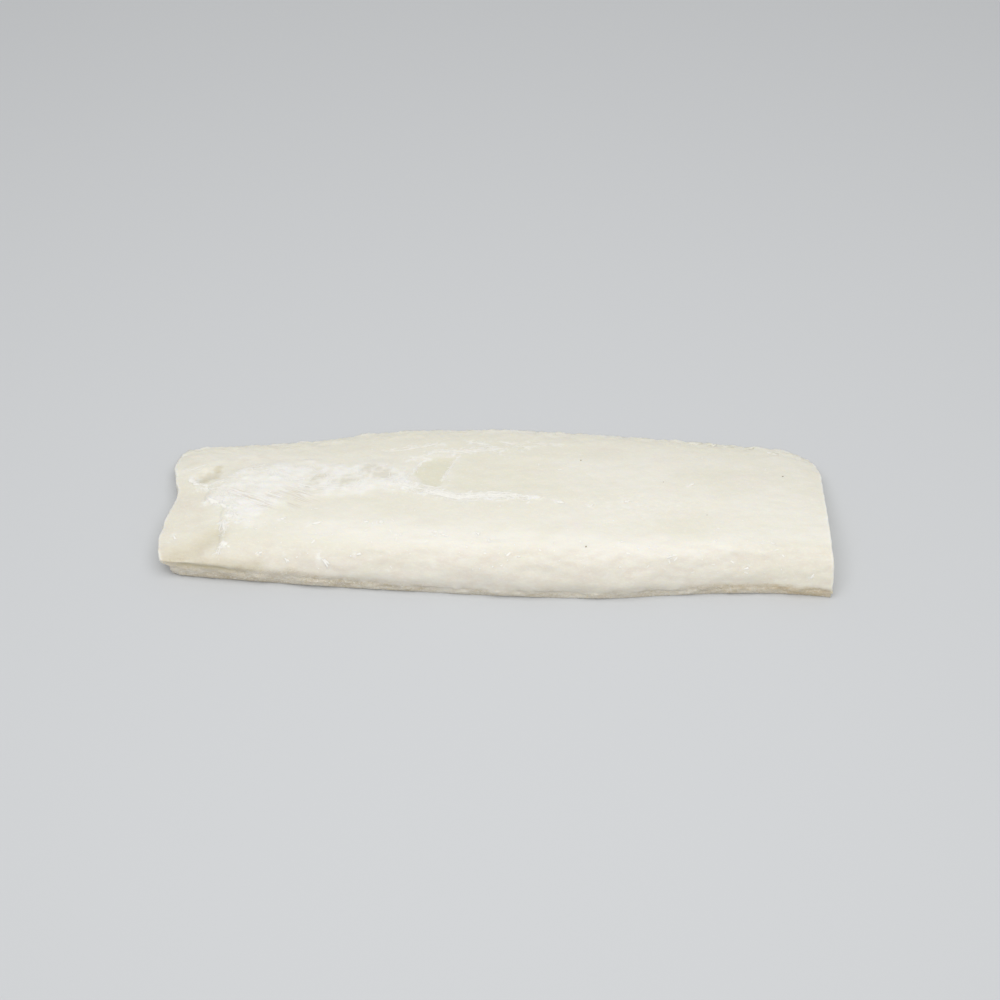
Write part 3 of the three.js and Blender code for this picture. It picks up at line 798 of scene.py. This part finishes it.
def fine_relief(points, place, share_down, masks):
    """How far the grain, striations and torn texture stand out of the plain form, in millimetres."""
    _, y, z = points.T
    uncut = np.isin(place, ["back", "torn", "belly"])
    rough = np.maximum(passage(z, 12, 4), np.where(uncut, smooth(3 * share_down), 0))
    relief = grains(points, FLESH_GRAIN)
    relief += passage(y, -34, -52) * grains(points, SHOULDER_GRAIN)
    relief += rough * grains(points, ROUGH_GRAIN)
    relief -= 0.9 * masks["crevice"]
    relief += 0.5 * (place == "torn") * grain(points, (1.6, 1.6, 6), 34)
    relief += masks["membrane"] * (0.3 + 0.35 * grain(points, (6, 4, 9), 25))
    relief -= masks["hatch"] * 0.25 * np.abs(grain(points, (20, 1.9, 9), 31, STRIATION_TURN))
    relief += masks["strand"] * (0.25 + 0.3 * grain(points, (5, 1.8, 5), 26))
    relief += masks["cut_face"] * 0.3 * (2 * masks["ring"] - 1)
    return np.where(place == "under", -0.35 * masks["muscle"], relief * passage(z, 0, 3))


class Heap:
    """Points and faces of many small closed shapes, joined into one mesh."""

    def __init__(self):
        self.points, self.faces, self.count = [], [], 0

    def put(self, points, faces):
        """Adds one shape."""
        self.points.append(np.asarray(points, float).reshape(-1, 3))
        self.faces += [[corner + self.count for corner in face] for face in faces]
        self.count += len(self.points[-1])

    def settle(self, name, finish, rounded=True):
        """Makes the shapes into one piece that rides on the fillet."""
        material = small_finish(finish, bpy.context.scene.cod_colours)
        settle(mesh_object(name, np.vstack(self.points), self.faces, material, rounded))


class Surface:
    """Finds places on the finished flesh from above."""

    def __init__(self):
        mesh = bpy.data.objects["flesh"].data
        self.tree = BVHTree.FromPolygons([v.co for v in mesh.vertices], [f.vertices for f in mesh.polygons])

    def under(self, x, y):
        """The place on the flesh below a plan point, or nearest to it off the edge, and the way it faces."""
        hit, facing, _, _ = self.tree.ray_cast(Vector((x * MM, y * MM, 1)), Vector((0, 0, -1)))
        if hit is None:
            hit, facing, _, _ = self.tree.find_nearest(Vector((x * MM, y * MM, 5 * MM)))
        return np.array(hit) / MM, np.array(facing)


def tube(middles, sides, ups, widths, heights, count=6):
    """A closed tube around a line of middles, with its half widths and half heights there."""
    turns = np.linspace(0, 2 * math.pi, count, endpoint=False)
    rings = middles[:, None] + np.cos(turns)[None, :, None] * (sides * widths[:, None])[:, None]
    rings = rings + np.sin(turns)[None, :, None] * (ups * heights[:, None])[:, None]
    last = len(middles) - 1
    faces = []
    for ring in range(last):
        for n in range(count):
            a, b = ring * count + n, ring * count + (n + 1) % count
            faces.append([a, b, b + count, a + count])
    faces.append(list(range(count))[::-1])
    faces.append([last * count + n for n in range(count)])
    return rings.reshape(-1, 3), faces


def fibre(surface, line, width):
    """A tapered fibre pressed onto the flesh along a plan line."""
    hits = [surface.under(*place) for place in line]
    middles = np.array([hit[0] for hit in hits])
    ups = np.array([hit[1] for hit in hits])
    runs = np.gradient(middles, axis=0)
    sides = np.cross(ups, runs)
    sides /= np.linalg.norm(sides, axis=1, keepdims=True) + 1e-9
    share = np.linspace(0, 1, len(line))
    taper = FIBRE["tip"] + (1 - FIBRE["tip"]) * np.sin(math.pi * share) ** FIBRE["curve"]
    return tube(middles, sides, ups, width * taper, FIBRE["flat"] * width * taper)


def wandering(line, rng, spread):
    """A plan line moved sideways by a steady shift and a little more or less at each step."""
    run = np.gradient(line, axis=0)
    side = np.stack([-run[:, 1], run[:, 0]], -1) / np.linalg.norm(run, axis=1, keepdims=True)
    drift = rng.normal(0, spread) + np.cumsum(rng.normal(0, 0.15, len(line)))
    return line + side * drift[:, None]


def ray_line(start, heading, long, bend, steps=10):
    """A plan line from a start along a heading, which turns by the bend on its way."""
    angles = heading + bend * np.linspace(0, 1, steps)
    moves = np.stack([np.cos(angles), np.sin(angles)], -1) * long / steps
    return np.array(start) + np.cumsum(moves, axis=0)


def strand_lines(width, fibres, line, rng):
    """Plan lines of the fibres of one strand: one whole, the others short, some of them astray."""
    yield wandering(smooth_line(line, np.linspace(0, 1, 40)), rng, 0.1 * width)
    for _ in range(fibres):
        start = rng.uniform(0, 0.75)
        shares = np.linspace(start, min(1, start + rng.uniform(0.12, 0.4)), 14)
        yield wandering(smooth_line(line, shares), rng, 0.5 * width)
    for _ in range(fibres // 3):
        start, ahead = smooth_line(line, np.array([0, 0.03]) + rng.uniform(0.05, 0.9))
        heading = math.atan2(*(ahead - start)[::-1]) + rng.normal(0, 0.6)
        start = start + rng.normal(0, 0.3 * width, 2)
        yield ray_line(start, heading, rng.uniform(2, 6), rng.normal(0, 0.6), 8)


def lining_lines(rng, count):
    """Plan lines of the loose web of fine fibres on the membrane."""
    outline = np.array(MEMBRANE)
    while count:
        start = rng.uniform(outline.min(0), outline.max(0))
        line = ray_line(start, rng.uniform(-1.1, 0.9), rng.uniform(4, 13), rng.normal(0, 0.7))
        if depth_inside(line[:, 0], line[:, 1], MEMBRANE).min() > 0.5:
            count -= 1
            yield line


def tuft_lines(x, y, heading, long, rng):
    """Plan lines of a small tuft of fibres that lie close together."""
    forward = np.array([math.cos(heading), math.sin(heading)])
    sideways = np.array([-forward[1], forward[0]])
    for _ in range(TUFT_FIBRES):
        back, side = rng.uniform(0, 0.4) * long, rng.normal(0, 0.3)
        start = (x, y) + back * forward + side * sideways
        aim, reach = heading + rng.normal(0, 0.06), long * rng.uniform(0.3, 0.7)
        yield ray_line(start, aim, reach, rng.normal(0, 0.2), 8)


def flake(surface, at, heading, size, lift):
    """A thin ragged flake, rooted in the flesh, that lies on it and lifts towards its tip."""
    steps, across = FLAKE["steps"], FLAKE["across"]
    along_share = np.linspace(0, 1, steps)[:, None]
    side_share = np.linspace(-1, 1, across)[None]
    ahead, aside = at[0] + along_share * size[0], at[1] + side_share * size[1]
    places = np.dstack(np.broadcast_arrays(ahead, aside, 0 * aside))
    ragged = 1 + FLAKE["ragged"] * grain(places, (1.9, 1.9, 1), at[0] % 17)
    half = size[1] * np.sqrt(np.clip(1.05 - (1.6 * along_share - 0.6) ** 2, 0, 1)) * ragged
    forward = along_share * size[0] * (1 + 0.25 * (ragged - 1))
    c, s = math.cos(heading), math.sin(heading)
    x = at[0] + forward * c - side_share * half * s
    y = at[1] + forward * s + side_share * half * c
    flesh = np.vectorize(lambda px, py: surface.under(px, py)[0][2])(x, y)
    root = FLAKE["root"] * np.clip(1 - along_share / 0.35, 0, 1) ** 2
    z = flesh + lift * along_share ** 1.5 + 0.15 * grain(places, (3, 3, 1), 41) - 0.1 - root
    thick = FLAKE["edge"] + FLAKE["thick"] * (1 - side_share ** 2) * (1 - 0.8 * along_share)
    upper, lower = np.dstack([x, y, z + thick]), np.dstack([x, y, z - thick])
    grid = np.arange(steps * across).reshape(steps, across)
    quads = np.stack([grid[:-1, :-1], grid[1:, :-1], grid[1:, 1:], grid[:-1, 1:]], -1).reshape(-1, 4)
    rim = np.concatenate([grid[:, 0], grid[-1, 1:], grid[-2::-1, -1], grid[0, -2:0:-1]])
    walls = np.stack([rim, rim + grid.size, np.roll(rim, -1) + grid.size, np.roll(rim, -1)], -1)
    faces = quads.tolist() + (quads[:, ::-1] + grid.size).tolist() + walls.tolist()
    return np.vstack([upper.reshape(-1, 3), lower.reshape(-1, 3)]), faces


def chamfered_block(chamfer):
    """Corners and faces of a small block with its edges cut off."""
    block = bmesh.new()
    bmesh.ops.create_cube(block, size=2)
    bmesh.ops.bevel(block, geom=block.edges, offset=chamfer, segments=1, affect="EDGES")
    corners = np.array([vertex.co for vertex in block.verts])
    faces = [[vertex.index for vertex in face.verts] for face in block.faces]
    block.free()
    return corners, faces


def turned(corners, up, angle):
    """Corners turned about their own up, then tipped so that it points along the given way."""
    tip = Vector((0, 0, 1)).rotation_difference(Vector(up)).to_matrix()
    spin = Matrix.Rotation(angle, 3, "Z")
    return corners @ np.array(tip @ spin).T


def mesh_object(name, points, faces, material, rounded=True):
    """A mesh object from points in millimetres, shaded round or with sharp faces."""
    mesh = bpy.data.meshes.new(name)
    mesh.from_pydata((np.asarray(points) * MM).tolist(), [], faces)
    mesh.polygons.foreach_set("use_smooth", np.full(len(mesh.polygons), rounded))
    mesh.materials.append(material)
    mesh.update()
    piece = bpy.data.objects.new(name, mesh)
    bpy.context.scene.collection.objects.link(piece)
    return piece


def settle(piece):
    """Rides a piece on the fillet."""
    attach(piece, "root")
    return piece


class Finish:
    """A procedural material, built up node by node."""

    def __init__(self, name):
        self.material = bpy.data.materials.new(name)
        self.material.use_nodes = True
        self.tree = self.material.node_tree
        self.shader = self.tree.nodes["Principled BSDF"]
        self.place = self.add("ShaderNodeTexCoord", "Object")

    def fill(self, socket, value):
        """Links a socket to a value that comes from a node, or else sets it."""
        if isinstance(value, bpy.types.NodeSocket):
            self.tree.links.new(value, socket)
        else:
            socket.default_value = value

    def add(self, kind, output, inputs=None, **settings):
        """Adds a node with its settings and inputs, and gives the wanted output."""
        node = self.tree.nodes.new(kind)
        for name, value in settings.items():
            setattr(node, name, value)
        for name, value in (inputs or {}).items():
            self.fill(node.inputs[name], value)
        return node.outputs[output]

    def mask(self, name):
        return self.add("ShaderNodeAttribute", "Fac", attribute_name=name)

    def noise(self, sizes, detail=3.0, rough=0.55, turn=0.0):
        """Noise whose swells have sizes in millimetres, turned in plan."""
        stretch = {"Vector": self.place, "Rotation": (0, 0, turn), "Scale": [size * MM for size in sizes]}
        place = self.add("ShaderNodeMapping", "Vector", stretch, vector_type="TEXTURE")
        given = {"Vector": place, "Scale": 1.0, "Detail": detail, "Roughness": rough}
        return self.add("ShaderNodeTexNoise", "Fac", given)

    def patches(self, sizes, between, strengths=(0.0, 1.0), detail=3.0, rough=0.55, turn=0.0):
        """Soft patches: noise that passes between two of its values, and the strengths there."""
        value = self.noise(sizes, detail, rough, turn)
        given = {"Value": value, "From Min": between[0], "From Max": between[1]}
        given |= {"To Min": strengths[0], "To Max": strengths[1]}
        return self.add("ShaderNodeMapRange", "Result", given, interpolation_type="SMOOTHSTEP")

    def maths(self, operation, first, second):
        return self.add("ShaderNodeMath", "Value", {0: first, 1: second}, operation=operation)

    def mix(self, share, first, second):
        given = {"Factor": share, MIX_FIRST: first, MIX_SECOND: second}
        return self.add("ShaderNodeMix", MIX_RESULT, given, data_type="RGBA")

    def bump(self, height, strength, distance):
        given = {"Strength": strength, "Distance": distance * MM, "Height": height}
        self.set(Normal=self.add("ShaderNodeBump", "Normal", given))

    def set(self, **values):
        for name, value in values.items():
            self.fill(self.shader.inputs[name.replace("_", " ")], value)


def flesh_finish(colours):
    """Creamy, faintly clear flesh with membrane, windows and strands, olive stains, painted shade in the
    groove, trough and crevices, and painted highlights along the crest and the rims.
    """
    finish = Finish("salted flesh")
    tone = colours.flesh
    for mask, name, strength in FLESH_LAYERS:
        if isinstance(strength, tuple):
            strength = finish.patches(*strength)
        if mask:
            strength = finish.maths("MULTIPLY", finish.mask(mask), strength)
        tone = finish.mix(strength, tone, getattr(colours, name))
    pores = finish.noise((1.8, 1.2, 1.2), 4.0, 0.65)
    fine = finish.noise((0.5, 0.4, 0.4), 2.0)
    roughness = finish.patches((6, 3, 3), (0.3, 0.7), (0.36, 0.52))
    finish.set(Base_Color=tone, Roughness=roughness, IOR=1.42, Specular_IOR_Level=0.45)
    finish.set(Subsurface_Weight=0.3, Subsurface_Scale=0.003, Subsurface_Radius=(1.0, 0.85, 0.6))
    finish.bump(finish.maths("ADD", pores, finish.maths("MULTIPLY", fine, 0.4)), 0.35, 0.5)
    return finish.material


def small_finish(name, colours):
    """The finish of one kind of small thing, mottled between two tones."""
    tones, sizes, between, roughness, refraction, bumps = SMALL_FINISHES[name]
    finish = Finish(name)
    mottle = finish.patches(sizes, between) if between else finish.noise(sizes)
    first, second = (getattr(colours, tone) for tone in tones)
    finish.set(Base_Color=finish.mix(mottle, first, second), Roughness=roughness, IOR=refraction)
    if bumps:
        finish.bump(finish.noise(bumps[0]), SMALL_BUMP, bumps[1])
    return finish.material


class COD_OT_flesh(bpy.types.Operator):
    """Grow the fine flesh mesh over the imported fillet"""

    bl_idname = "cod.flesh"
    bl_label = "Flesh"

    def execute(self, context):
        points, faces, place, share_down = flesh_form(context.scene.cod_form)
        masks = finish_masks(points, place, share_down)
        flesh = mesh_object("flesh", points, faces, flesh_finish(context.scene.cod_colours))
        mesh = flesh.data
        normals = np.empty(len(points) * 3, np.float32)
        mesh.vertices.foreach_get("normal", normals)
        points = points + normals.reshape(-1, 3) * fine_relief(points, place, share_down, masks)[:, None]
        points[:, 2] = np.maximum(points[:, 2], 0)
        mesh.vertices.foreach_set("co", (points * MM).astype(np.float32).ravel())
        for name, values in masks.items():
            mesh.attributes.new(name, "FLOAT", "POINT").data.foreach_set("value", values.astype(np.float32))
        mesh.update()
        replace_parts(settle(flesh), "fillet")
        return {"FINISHED"}


class COD_OT_fibres(bpy.types.Operator):
    """Lay the white strands, the fine fibres of the membrane and the tufts"""

    bl_idname = "cod.fibres"
    bl_label = "Fibres"

    def execute(self, context):
        scatter = context.scene.cod_scatter
        rng = np.random.default_rng(scatter.seed)
        surface, heap = Surface(), Heap()
        half = scatter.fibre / MM
        for width, _, fibres, strand in STRANDS.values():
            for line in strand_lines(width, fibres, strand, rng):
                heap.put(*fibre(surface, line, half * rng.uniform(*FIBRE_WIDTHS["strand"])))
        for line in lining_lines(rng, scatter.web):
            heap.put(*fibre(surface, line, half * rng.uniform(*FIBRE_WIDTHS["web"])))
        for tuft in TUFTS:
            for line in tuft_lines(*tuft, rng):
                heap.put(*fibre(surface, line, half * rng.uniform(*FIBRE_WIDTHS["tuft"])))
        heap.settle("fibres", "white strand")
        return {"FINISHED"}


class COD_OT_flakes(bpy.types.Operator):
    """Lay the thin flakes of the ragged edge and the white flaps by the pit and the torn rim"""

    bl_idname = "cod.flakes"
    bl_label = "Flakes"

    def execute(self, context):
        surface = Surface()
        kinds = {"edge_flakes": (EDGE_FLAKES, "thin flake"), "white_flaps": (WHITE_FLAPS, "white strand")}
        for name, (flakes, finish) in kinds.items():
            heap = Heap()
            for spec in flakes:
                heap.put(*flake(surface, *spec))
            heap.settle(name, finish)
        return {"FINISHED"}


class COD_OT_salt(bpy.types.Operator):
    """Scatter salt crystals and white crumbs over the flesh"""

    bl_idname = "cod.salt"
    bl_label = "Salt and crumbs"

    def execute(self, context):
        scatter = context.scene.cod_scatter
        rng = np.random.default_rng(scatter.seed + 1)
        surface, salt, crumbs = Surface(), Heap(), Heap()
        corners, faces = chamfered_block(CRYSTAL_CHAMFER)
        side = scatter.crystal / MM / 2
        for _ in range(scatter.crystals):
            at, up = surface.under(*self.place(rng))
            shape = side * rng.uniform(*CRYSTAL["size"]) * rng.uniform(*CRYSTAL["sides"], 3) * CRYSTAL["flat"]
            tilt = up + rng.normal(0, CRYSTAL["tilt"], 3)
            crystal = turned(corners * shape, tilt, rng.uniform(0, math.tau))
            salt.put(at + up * CRYSTAL["rise"] * shape[2] + crystal, faces)
        for _ in range(scatter.crumbs):
            at, up = surface.under(*self.place(rng))
            shape = np.array([rng.uniform(*CRUMB["long"]), rng.uniform(*CRUMB["wide"]), CRUMB["thick"]])
            uneven = 1 + rng.uniform(-CRUMB["uneven"], CRUMB["uneven"], corners.shape)
            crumb = turned(corners * uneven * shape, up, rng.normal(*CRUMB["heading"]))
            crumbs.put(at + up * CRUMB_RISE + crumb, faces)
        salt.settle("salt", "salt crystal", rounded=False)
        crumbs.settle("crumbs", "white strand", rounded=False)
        return {"FINISHED"}

    def place(self, rng):
        """A plan place on the flesh, most of them along the shoulder."""
        x = rng.uniform(SALT_REACH["torn"] * LOW[0], SALT_REACH["cut"] * HIGH[0])
        shoulder = np.interp(x, *np.array(CREST_LINE).T) - SALT_SHOULDER["below"]
        if rng.random() < SALT_SHOULDER["share"]:
            y = rng.normal(shoulder, SALT_SHOULDER["spread"])
        else:
            y = rng.uniform(SALT_REACH["even"] * LOW[1], SALT_REACH["even"] * HIGH[1])
        return x, np.clip(y, SALT_REACH["back"] * LOW[1], SALT_REACH["belly"] * HIGH[1])


class COD_OT_pinpricks(bpy.types.Operator):
    """Sink the dark pinpricks into the flesh"""

    bl_idname = "cod.pinpricks"
    bl_label = "Pinpricks"

    def execute(self, context):
        surface, heap = Surface(), Heap()
        corners, faces = chamfered_block(PINPRICK["chamfer"])
        for x, y, half in PINPRICKS:
            at, up = surface.under(x, y)
            shape = (half, PINPRICK["narrow"] * half, PINPRICK["thick"])
            heap.put(at + turned(corners * shape, up, x), faces)
        heap.settle("pinpricks", "dark pinprick")
        return {"FINISHED"}


class COD_OT_stage(bpy.types.Operator):
    """Lay the pale floor and set the soft light, the even light and the camera"""

    bl_idname = "cod.stage"
    bl_label = "Stage"

    def execute(self, context):
        stage = context.scene.cod_stage
        finish = Finish("pale floor")
        finish.set(Base_Color=tuple(stage.floor), Roughness=0.8)
        side = FLOOR_HALF / MM
        corners = [(-side, -side, 0), (side, -side, 0), (side, side, 0), (-side, side, 0)]
        mesh_object("floor", corners, [[0, 1, 2, 3]], finish.material)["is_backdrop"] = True
        self.soft_light(context, "overhead", **OVERHEAD, power=stage.key_power)
        world = bpy.data.worlds.new("even light")
        world.use_nodes = True
        light = world.node_tree.nodes["Background"].inputs
        light["Color"].default_value = (1, 1, 1, 1)
        light["Strength"].default_value = stage.sky
        context.scene.world = world
        context.scene.view_settings.view_transform = "Standard"
        lens = bpy.data.cameras.new("camera")
        lens.sensor_fit = "HORIZONTAL"
        lens.angle = stage.camera_view
        camera = bpy.data.objects.new("camera", lens)
        camera.location = (stage.camera_side, -stage.camera_back, stage.camera_height)
        camera.rotation_euler = (math.pi / 2 - stage.camera_pitch, 0, 0)
        context.scene.collection.objects.link(camera)
        context.scene.camera = camera
        return {"FINISHED"}

    def soft_light(self, context, name, place, size, power):
        light = bpy.data.lights.new(name, "AREA")
        light.shape = "RECTANGLE"
        light.size, light.size_y = size
        light.energy = power
        lamp = bpy.data.objects.new(name, light)
        lamp.location = place
        lamp.rotation_euler = (-Vector(place)).to_track_quat("-Z", "Y").to_euler()
        context.scene.collection.objects.link(lamp)


OPERATORS = (COD_OT_flesh, COD_OT_fibres, COD_OT_flakes, COD_OT_salt, COD_OT_pinpricks, COD_OT_stage)
GROUPS = {"cod_form": CodForm, "cod_colours": CodColours, "cod_scatter": CodScatter, "cod_stage": CodStage}


class COD_PT_sidebar(bpy.types.Panel):
    """Lists the sizes and colours, and the steps that make the fillet"""

    bl_label = "Salted Dried Cod"
    bl_idname = "COD_PT_sidebar"
    bl_space_type = "VIEW_3D"
    bl_region_type = "UI"
    bl_category = "Cod"

    def draw(self, context):
        for name, group in GROUPS.items():
            box = self.layout.box()
            for key in group.__annotations__:
                box.prop(getattr(context.scene, name), key)
        for operator in OPERATORS:
            self.layout.operator(operator.bl_idname)


CLASSES = (*GROUPS.values(), *OPERATORS, COD_PT_sidebar)


def register():
    for cls in CLASSES:
        bpy.utils.register_class(cls)
    for name, group in GROUPS.items():
        setattr(bpy.types.Scene, name, bpy.props.PointerProperty(type=group))


def unregister():
    for name in GROUPS:
        delattr(bpy.types.Scene, name)
    for cls in reversed(CLASSES):
        bpy.utils.unregister_class(cls)


def main():
    register()
    bpy.ops.cod.flesh()
    bpy.ops.cod.fibres()
    bpy.ops.cod.flakes()
    bpy.ops.cod.salt()
    bpy.ops.cod.pinpricks()
    bpy.ops.cod.stage()
    boxes = {"cad": CAD_BOX, "visual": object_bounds()}
    {name: [list(corner) for corner in box] for name, box in boxes.items()}


if __name__ == "__main__":
    main()
